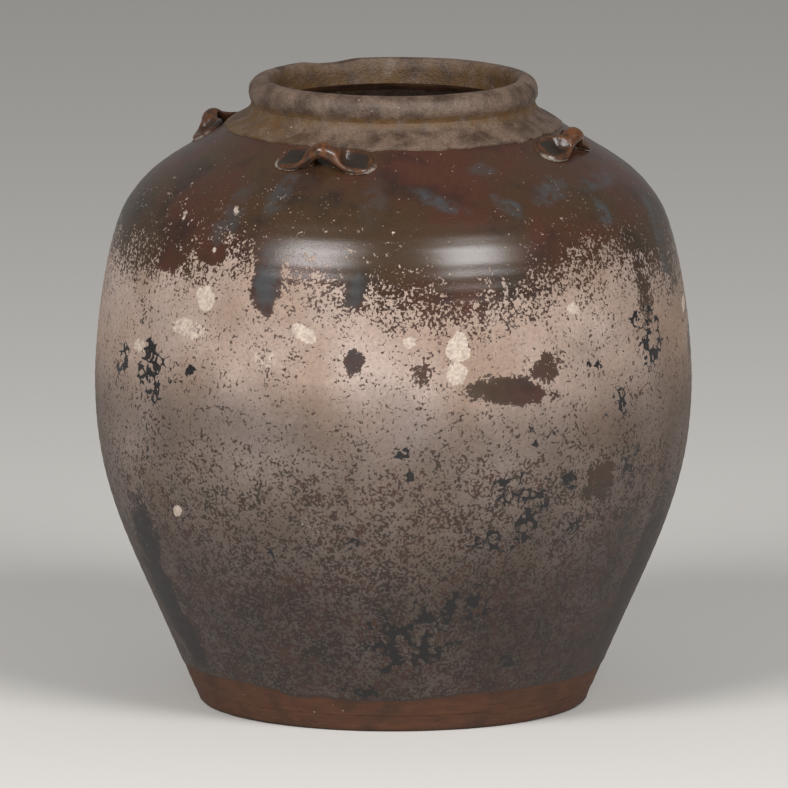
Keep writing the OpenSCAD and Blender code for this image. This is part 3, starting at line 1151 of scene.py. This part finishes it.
@dataclass
class Body:
    """Lower and upper body sections, and the strap of clay over their seam inside."""

    form: JarForm
    surface: Surface
    steps: int = 640
    skin_spacing: float = 3.1
    inner_spacing: float = 9.0
    strap_t: float = 5.0
    skin_depth: float = 1.5

    def build(self) -> list[Piece]:
        """Makes the three pieces."""
        return [self.lower(), self.strap(), self.upper()]

    def wall(self, name: str, loop: Array, node: str, slot: Slot) -> Piece:
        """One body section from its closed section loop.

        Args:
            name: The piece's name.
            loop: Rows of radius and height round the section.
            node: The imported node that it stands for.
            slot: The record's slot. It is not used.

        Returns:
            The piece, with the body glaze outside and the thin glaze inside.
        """
        mesh = turned(name, loop, self.steps)
        points = read_points(mesh)
        depth = self.depth_of(points)
        skin = smooth(depth, 6.0, 2.0)
        inner = (1.0 - skin) * smooth(depth, 6.0, 10.0)
        step = skin * self.surface.stray(points) + inner * self.surface.inner_stray(points)
        paint(mesh, self.surface.layers(points))
        write_points(mesh, push_out(points, step))
        second_finish(mesh, depth, self.skin_depth)
        return stand_in(name, mesh, [BodyGlaze(), InnerGlaze()], node)

    def depth_of(self, points: Array) -> Array:
        """Distance of each point under the outside, level on the wall and upright on the shoulder."""
        radius = np.hypot(points[:, 0], points[:, 1])
        level = self.form.radius_at(points[:, 2]) - radius
        outline = self.form.outline[::-1]
        crown = np.interp(radius, outline[:, 0], outline[:, 1])
        upright = np.where(points[:, 2] > self.form.belly_z, crown - points[:, 2], level)
        return np.clip(np.minimum(level, upright), 0.0, None)

    def lower(self) -> Piece:
        """Section from the slab to the belly seam."""
        form = self.form
        skin = form.lower.run(self.skin_spacing, form.slab_share, form.seam_share)
        shares = form.lower.spaced(self.inner_spacing, form.slab_share, form.bevel_share)
        inner = form.inside(form.lower, shares)
        loop = np.vstack([form.slab_corner, skin, inner[::-1]])
        return self.wall("lower_body", loop, "lower_wall", Slot.WORN)

    def upper(self) -> Piece:
        """Section from the belly seam over the knee to the neck."""
        form = self.form
        skin = np.vstack([
            form.lower.run(self.skin_spacing, form.seam_share, 1.0),
            form.belly.run(self.skin_spacing)[1:],
            form.shoulder.run(self.skin_spacing)[1:],
        ])
        inner = np.vstack([
            form.inside(form.lower, np.array([form.bevel_share, 1.0])),
            form.inside(form.belly, form.belly.spaced(self.inner_spacing))[1:],
            form.inside(form.shoulder, form.shoulder.spaced(self.inner_spacing))[1:],
        ])
        return self.wall("upper_body", np.vstack([skin, inner[::-1]]), "upper_wall", Slot.DARK)

    def strap(self) -> Piece:
        """Strap smoothed over the belly seam inside."""
        form = self.form
        lower = form.inside(form.lower, form.lower.spaced(6.0, form.bevel_share - 0.06, form.bevel_share))
        upper = form.inside(form.belly, form.belly.spaced(6.0, 0.0, 0.28))
        side = np.vstack([lower, upper])
        bulge = self.strap_t * np.sin(np.pi * np.linspace(0.0, 1.0, len(side)))[1:-1]
        face = side[1:-1] - np.column_stack([bulge, np.zeros(len(bulge))])
        mesh = turned("belly_strap", np.vstack([side, face[::-1]]), self.steps // 4)
        return stand_in("belly_strap", mesh, [InnerGlaze()], "belly_coil")


@dataclass
class Neck:
    """Neck ring with its smeared collar, and the rolled rim."""

    form: JarForm
    surface: Surface
    steps: int = 560
    spacing: float = 1.5
    collar_lip: float = 2.4
    lip_wander: float = 2.2
    low_turn: float = 232.0
    amber_side: float = 65.0
    low_depth: float = 3.4

    def build(self) -> list[Piece]:
        """Makes both pieces."""
        return [self.ring(), self.rim()]

    def ring(self) -> Piece:
        """Neck, with its collar smeared down over the shoulder to a ragged edge."""
        form = self.form
        collar = np.array([form.collar_share])
        thick = self.collar_lip * (0.9 * form.shoulder.outward(collar)[0] - [0.4, 0.0])
        lip = form.shoulder.at(collar)[0] + thick
        apron = form.shoulder.run(3.0, form.collar_share, 1.0)[::-1]
        flare = as_curve(lip, form.seat + [2.0, 2.2], form.groove + [0.7, -10.0], form.groove)
        heel = form.inside(form.shoulder, np.array([1.0]))[0]
        mouth = np.array([form.mouth_r, form.groove[1]])
        throat = as_curve(mouth, mouth + [3.5, -9.0], heel + [-9.0, 7.0], heel)
        loop = np.vstack([apron, flare.run(self.spacing), throat.run(self.spacing)])
        mesh = turned("neck_collar", loop, self.steps)
        points = read_points(mesh)
        radius = np.hypot(points[:, 0], points[:, 1])
        outer = smooth(radius, form.mouth_r + 6.0, form.groove_r)
        edge = smooth(radius, form.seat_r - 1.0, form.collar_r)
        ragged = self.lip_wander * self.surface.noise.rough(grounded(points), 24.0) * edge
        bumps = 0.45 * self.surface.noise.rough(points, 9.0, 2) * outer
        moved = push_out(points, outer * self.surface.stray(points) + ragged + bumps)
        slope = math.tan(math.radians(form.shoulder_slope))
        moved[:, 2] -= ragged * slope
        turn, _ = self.surface.turn_and_radius(points)
        groove = smooth(np.abs(points[:, 2] - form.groove[1]), 9.0, 2.0)
        left = smooth(np.abs(turn_from(turn, FRONT_TURN - self.amber_side)), 42.0, 10.0)
        paint(mesh, {Layer.WARM: np.clip(np.maximum(groove, 0.8 * left), 0.0, 1.0)})
        write_points(mesh, moved)
        second_finish(mesh, -radius, -form.mouth_r - 5.0)
        return stand_in("neck_collar", mesh, [AshGlaze(), InnerGlaze()], "neck_ring")

    def rim(self) -> Piece:
        """Rolled rim with a low place in its back left."""
        form = self.form
        full_z = form.groove[1] + 0.46 * form.roll_h
        crown_r = form.mouth_r + 0.4 * (form.roll_r - form.mouth_r)
        full = np.array([form.roll_r, full_z])
        crown = np.array([crown_r, form.height])
        lip_end = np.array([form.mouth_r, form.groove[1] + 0.5 * form.roll_h])
        under = as_curve(form.groove, form.groove + [0.6, 3.5], full - [0.0, 6.0], full)
        outer = as_curve(full, full + [0.0, 8.5], crown + [8.0, 0.0], crown)
        inner = as_curve(crown, crown - [6.0, 0.0], (form.mouth_r, form.height - 5.0), lip_end)
        loop = np.vstack([
            [form.mouth_r, form.groove[1]], under.run(self.spacing),
            outer.run(self.spacing)[1:], inner.run(self.spacing)[1:],
        ])
        mesh = turned("rolled_rim", loop, self.steps)
        points = read_points(mesh)
        turn, radius = self.surface.turn_and_radius(points)
        skin = smooth(radius, form.mouth_r, form.mouth_r + 6.0)
        bumps = 0.5 * (self.surface.noise.rough(points, 9.0, 2) - 0.8) * skin
        moved = push_out(points, self.surface.stray(points) * skin + bumps)
        rise = smooth(points[:, 2], form.groove[1] + 4.0, form.height)
        low_place = smooth(np.abs(turn_from(turn, self.low_turn)), 16.0, 2.0)
        wave = 0.5 * (self.surface.noise.at(grounded(points), 70.0) - 1.0)
        moved[:, 2] += rise * (wave - self.low_depth * low_place)
        groove = smooth(points[:, 2] - form.groove[1], 8.0, 2.0)
        lip = smooth(radius, form.mouth_r + 6.0, form.mouth_r + 1.0)
        paint(mesh, {Layer.WARM: np.clip(np.maximum(groove, 0.7 * lip), 0.0, 1.0)})
        write_points(mesh, moved)
        return stand_in("rolled_rim", mesh, [AshGlaze()], "rim_roll")


@dataclass
class Lug:
    """One lug: a coil bent into an arch, its ends pressed flat and luted to the shoulder."""

    form: JarForm
    surface: Surface
    source: Piece
    turn: float
    slip: float
    voxel: float = 0.7
    skirt_spread: float = 1.07
    skirt_height: float = 1.3
    dish_middle: float = 34.0

    def build(self) -> Piece:
        """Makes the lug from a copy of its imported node."""
        mesh = self.source.data.copy()
        mesh.transform(Matrix.Scale(1.0 / MM, 4))
        bm = bmesh.new()
        bm.from_mesh(mesh)
        bmesh.ops.remove_doubles(bm, verts=bm.verts, dist=0.01)
        bm.to_mesh(mesh)
        bm.free()
        mesh.materials.clear()
        return self.finish(self.luted(mesh))

    def local(self, points: Array) -> tuple[Array, Array, Array]:
        """Place of each point on the shoulder: along the lug, down the slope, and off the surface."""
        turn, radius = self.surface.turn_and_radius(points)
        along = np.radians(turn_from(turn, self.turn)) * self.form.lug_r
        track, out, lengths, middle = self.form.shoulder_track
        flat = np.column_stack([radius, points[:, 2]])
        gap = flat[:, None, :] - track[None, ::4, :]
        nearest = np.argmin((gap**2).sum(axis=2), axis=1) * 4
        off = np.einsum("ij,ij->i", flat - track[nearest], out[nearest])
        return along, middle + self.slip - lengths[nearest], off

    def on_shoulder(self, along: Array, down: Array, off: Array) -> Array:
        """Points at places on the shoulder, the inverse of local."""
        track, out, lengths, middle = self.form.shoulder_track
        reach = middle + self.slip - down
        radius = np.interp(reach, lengths, track[:, 0]) + off * np.interp(reach, lengths, out[:, 0])
        height = np.interp(reach, lengths, track[:, 1]) + off * np.interp(reach, lengths, out[:, 1])
        turn = np.radians(self.turn) + along / self.form.lug_r
        return np.column_stack([radius * np.sin(turn), -radius * np.cos(turn), height])

    def luted(self, mesh: Mesh) -> Mesh:
        """The lug joined with a thin smear of clay round its pads, remeshed into one skin."""
        points = read_points(mesh)
        along, down, off = self.local(points)
        skirt = mesh.copy()
        spread = self.on_shoulder(along * self.skirt_spread, down * (self.skirt_spread + 0.06),
                                  np.clip(off, -1.2, self.skirt_height) - 0.4)
        write_points(skirt, spread)
        bm = bmesh.new()
        bm.from_mesh(mesh)
        bm.from_mesh(skirt)
        holder = in_scene("lug_holder", as_mesh(self.source.name, bm))
        remesh = holder.modifiers.new("one_skin", "REMESH")
        remesh.mode = "VOXEL"
        remesh.voxel_size = self.voxel
        graph = bpy.context.evaluated_depsgraph_get()
        skin = bpy.data.meshes.new_from_object(holder.evaluated_get(graph))
        bpy.data.objects.remove(holder)
        bm = bmesh.new()
        bm.from_mesh(skin)
        for _ in range(5):
            bmesh.ops.smooth_vert(bm, verts=bm.verts, factor=0.5,
                                  use_axis_x=True, use_axis_y=True, use_axis_z=True)
        bm.to_mesh(skin)
        bm.free()
        return skin

    def finish(self, mesh: Mesh) -> Piece:
        """Gives the skin its hand-pressed unevenness and its masks."""
        points = read_points(mesh)
        along, down, off = self.local(points)
        convex = self.bulge(mesh, points)
        dish = smooth(np.abs(np.abs(along) - self.dish_middle), 15.0, 8.0)
        dish *= smooth(np.abs(down), 14.0, 9.0) * smooth(off, 6.2, 4.6)
        # hem: the pale line along the pads' lower edges, partly pale glaze and partly a painted
        # highlight.
        hem = smooth(off, 2.4, 0.9) * smooth(down, -2.0, 6.0)
        paint(mesh, {
            Layer.CONVEX: np.clip(0.12 + convex + 0.5 * smooth(off, 7.0, 20.0), 0.0, 1.0),
            Layer.DISH: dish,
            Layer.HEM_AND_HIGHLIGHT: hem,
        })
        uneven = 0.35 * self.surface.noise.rough(points, 9.0, 2)
        write_points(mesh, push_out(points, self.surface.stray(points) + uneven))
        return stand_in(f"{self.source.name}_pressed", mesh, [AmberGlaze()], self.source.name)

    def bulge(self, mesh: Mesh, points: Array) -> Array:
        """How far each point stands out from its neighbours, as a mask."""
        ends = np.zeros(len(mesh.edges) * 2, np.int32)
        mesh.edges.foreach_get("vertices", ends)
        ends = ends.reshape(-1, 2)
        blurred = points.copy()
        for _ in range(10):
            total = np.zeros_like(points)
            count = np.zeros(len(points))
            for a, b in ((0, 1), (1, 0)):
                np.add.at(total, ends[:, a], blurred[ends[:, b]])
                np.add.at(count, ends[:, a], 1.0)
            blurred = total / np.maximum(count, 1.0)[:, None]
        normals = np.zeros(len(points) * 3)
        mesh.vertices.foreach_get("normal", normals)
        lift = np.einsum("ij,ij->i", points - blurred, normals.reshape(-1, 3))
        return np.clip(lift / 0.35, -0.35, 0.6)


@dataclass
class Studio:
    """Camera at the photograph's angle, two soft lights, a pale surround and a floor."""

    distance: float = 20.0
    eye_height: float = 3.724
    pitch: float = 9.69
    lens: float = 923.4
    shift: float = 0.001
    floor_r: float = 16.0
    floor_colour: Colour = (0.70, 0.68, 0.65)
    sky: Colour = (0.86, 0.85, 0.83)
    sky_strength: float = 0.26
    seen_strength: float = 0.9
    lamp_turns: tuple[float, float] = (-36.0, 36.0)
    lamp_rise: float = 36.0
    lamp_far: float = 6.0
    lamp_size: float = 2.4
    lamp_power: float = 240.0

    def build(self) -> None:
        """Makes everything that isn't the jar."""
        self.camera()
        for number, turn in enumerate(self.lamp_turns):
            self.lamp(number, turn)
        self.floor()
        self.world()

    def camera(self) -> None:
        """Camera of the photograph."""
        data = bpy.data.cameras.new("camera")
        data.lens = self.lens
        data.sensor_width = 36.0
        data.shift_x = self.shift
        data.clip_start = 1.0
        data.clip_end = 200.0
        camera = in_scene("camera", data)
        turn = math.radians(FRONT_TURN)
        across, back = self.distance * math.sin(turn), -self.distance * math.cos(turn)
        camera.location = (across, back, self.eye_height)
        camera.rotation_euler = (math.radians(90.0 - self.pitch), 0.0, turn)
        bpy.context.scene.camera = camera

    def lamp(self, number: int, turn: float) -> None:
        """One square soft light, aimed at the jar's knee."""
        data = bpy.data.lights.new(f"soft_light_{number}", "AREA")
        data.shape = "SQUARE"
        data.size = self.lamp_size
        data.energy = self.lamp_power
        lamp = in_scene(data.name, data)
        azimuth = math.radians(FRONT_TURN + turn)
        rise = math.radians(self.lamp_rise)
        aim = Vector((0.0, 0.0, 0.4))
        level = math.cos(rise)
        back = Vector((math.sin(azimuth) * level, -math.cos(azimuth) * level, math.sin(rise)))
        lamp.location = aim + self.lamp_far * back
        lamp.rotation_euler = back.to_track_quat("Z", "Y").to_euler()
        lamp.visible_camera = False

    def floor(self) -> None:
        """Plain pale floor."""
        bm = bmesh.new()
        bmesh.ops.create_circle(bm, cap_ends=True, segments=96, radius=self.floor_r)
        mesh = as_mesh("floor", bm)
        material = bpy.data.materials.new("pale_floor")
        material.use_nodes = True
        shader = material.node_tree.nodes["Principled BSDF"]
        shader.inputs["Base Color"].default_value = (*self.floor_colour, 1.0)
        shader.inputs["Roughness"].default_value = 0.9
        mesh.materials.append(material)
        floor = in_scene("floor", mesh)

    def world(self) -> None:
        """Even pale light from all round, seen a little brighter than it lights."""
        world = bpy.data.worlds.new("pale_surround")
        world.use_nodes = True
        bpy.context.scene.world = world
        sheet = Sheet(world.node_tree)
        background = world.node_tree.nodes["Background"]
        background.inputs["Color"].default_value = (*self.sky, 1.0)
        path = sheet.node("ShaderNodeLightPath")
        strength = sheet.between(path.outputs["Is Camera Ray"], self.sky_strength, self.seen_strength)
        sheet.feed(background.inputs["Strength"], strength)


def main() -> None:
    """Builds the jar and the studio round it."""
    logging.basicConfig(level=logging.INFO, format="%(message)s")
    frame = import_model()
    bpy.context.scene.view_settings.view_transform = "Standard"
    form = JarForm.from_frame()
    surface = Surface(form)
    Studio().build()
    Foot(form, surface).build()
    Body(form, surface).build()
    Neck(form, surface).build()
    for number, (node, slip) in enumerate(LUG_SLIPS.items()):
        Lug(form, surface, frame["nodes"][node], 90.0 * number, slip).build()


if __name__ == "__main__":
    main()
